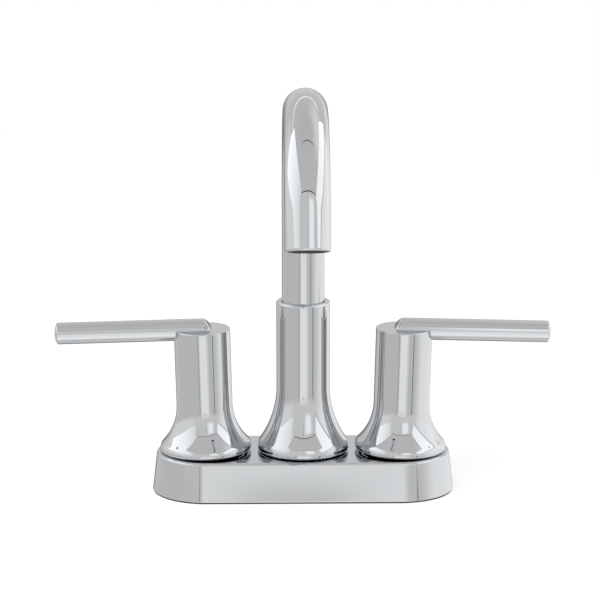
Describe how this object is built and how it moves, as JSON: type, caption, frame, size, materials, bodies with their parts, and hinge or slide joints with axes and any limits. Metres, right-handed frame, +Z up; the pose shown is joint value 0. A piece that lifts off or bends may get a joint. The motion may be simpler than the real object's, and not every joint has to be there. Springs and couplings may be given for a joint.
{
  "type": "centerset bathroom faucet",
  "caption": "Deck-mounted basin faucet on an oval-ended plate: a swivelling gooseneck spout on a flared post between lever handles on flared skirts.",
  "frame": {"origin": "middle of the underside of the deck gasket, on the sink deck", "axes": "+Z up, -Y towards the user and the way the spout points, X along the base plate from the left handle to the right one as the user sees them"},
  "size_m": [0.2576, 0.1516, 0.2668],
  "materials": {
    "aerator_housing": "moulded",
    "aerator_screen": "moulded",
    "aerator_washer": "matt",
    "base_plate": "polished",
    "bonnet_nut_left": "cast and machined",
    "bonnet_nut_right": "cast and machined",
    "cartridge_body_left": "moulded",
    "cartridge_body_right": "moulded",
    "deck_gasket": "matt",
    "fixed_disc_left": "lapped",
    "fixed_disc_right": "lapped",
    "handle_left": "polished",
    "handle_right": "polished",
    "mounting_nut_left": "moulded",
    "mounting_nut_right": "moulded",
    "moving_disc_left": "lapped",
    "moving_disc_right": "lapped",
    "plate_nut_left": "cast and machined",
    "plate_nut_right": "cast and machined",
    "post_bushing": "moulded",
    "post_seal": "matt",
    "seat_seal_left": "matt",
    "seat_seal_right": "matt",
    "set_screw_left": "plain",
    "set_screw_right": "plain",
    "shank_washer_left": "plain",
    "shank_washer_right": "plain",
    "spout_oring_lower": "matt",
    "spout_oring_upper": "matt",
    "spout_post": "polished",
    "spout_snap_ring": "plain",
    "spout_stop_pin": "plain",
    "spout_thrust_washer": "moulded",
    "spout_tube": "polished",
    "stem_oring_left": "matt",
    "stem_oring_right": "matt",
    "valve_body": "cast and machined",
    "valve_stem_left": "cast and machined",
    "valve_stem_right": "cast and machined"
  },
  "bodies": {
    "base": {"base_plate": "base_plate", "deck_gasket": "deck_gasket", "valve_body": "valve_body", "spout_post": "spout_post", "post_seal": "post_seal", "post_bushing": "post_bushing", "spout_thrust_washer": "spout_thrust_washer", "spout_stop_pin": "spout_stop_pin", "fixed_disc_left": "fixed_disc_left", "cartridge_body_left": "cartridge_body_left", "seat_seal_left": "seat_seal_left", "bonnet_nut_left": "bonnet_nut_left", "plate_nut_left": "plate_nut_left", "shank_washer_left": "shank_washer_left", "mounting_nut_left": "mounting_nut_left", "fixed_disc_right": "fixed_disc_right", "cartridge_body_right": "cartridge_body_right", "seat_seal_right": "seat_seal_right", "bonnet_nut_right": "bonnet_nut_right", "plate_nut_right": "plate_nut_right", "shank_washer_right": "shank_washer_right", "mounting_nut_right": "mounting_nut_right"},
    "spout": {"spout_tube": "spout_tube", "spout_snap_ring": "spout_snap_ring", "spout_oring_lower": "spout_oring_lower", "spout_oring_upper": "spout_oring_upper", "aerator_housing": "aerator_housing", "aerator_screen": "aerator_screen", "aerator_washer": "aerator_washer"},
    "left_handle": {"handle_left": "handle_left", "set_screw_left": "set_screw_left", "valve_stem_left": "valve_stem_left", "stem_oring_left": "stem_oring_left", "moving_disc_left": "moving_disc_left"},
    "right_handle": {"handle_right": "handle_right", "set_screw_right": "set_screw_right", "valve_stem_right": "valve_stem_right", "stem_oring_right": "stem_oring_right", "moving_disc_right": "moving_disc_right"}
  },
  "joints": [
    {"name": "left_handle_turn", "type": "hinge", "parent": "base", "child": "left_handle", "pos_m": [-0.0508, 0, 0.0206], "axis": [-0.0262, 0, 0.9997], "range_deg": [0, 90]},
    {"name": "right_handle_turn", "type": "hinge", "parent": "base", "child": "right_handle", "pos_m": [0.0508, 0, 0.0206], "axis": [0.0262, 0, 0.9997], "range_deg": [-90, 0]},
    {"name": "spout_swivel", "type": "hinge", "parent": "base", "child": "spout", "pos_m": [0, 0, 0.101], "axis": [0, 0, 1], "range_deg": [-60, 60]}
  ]
}
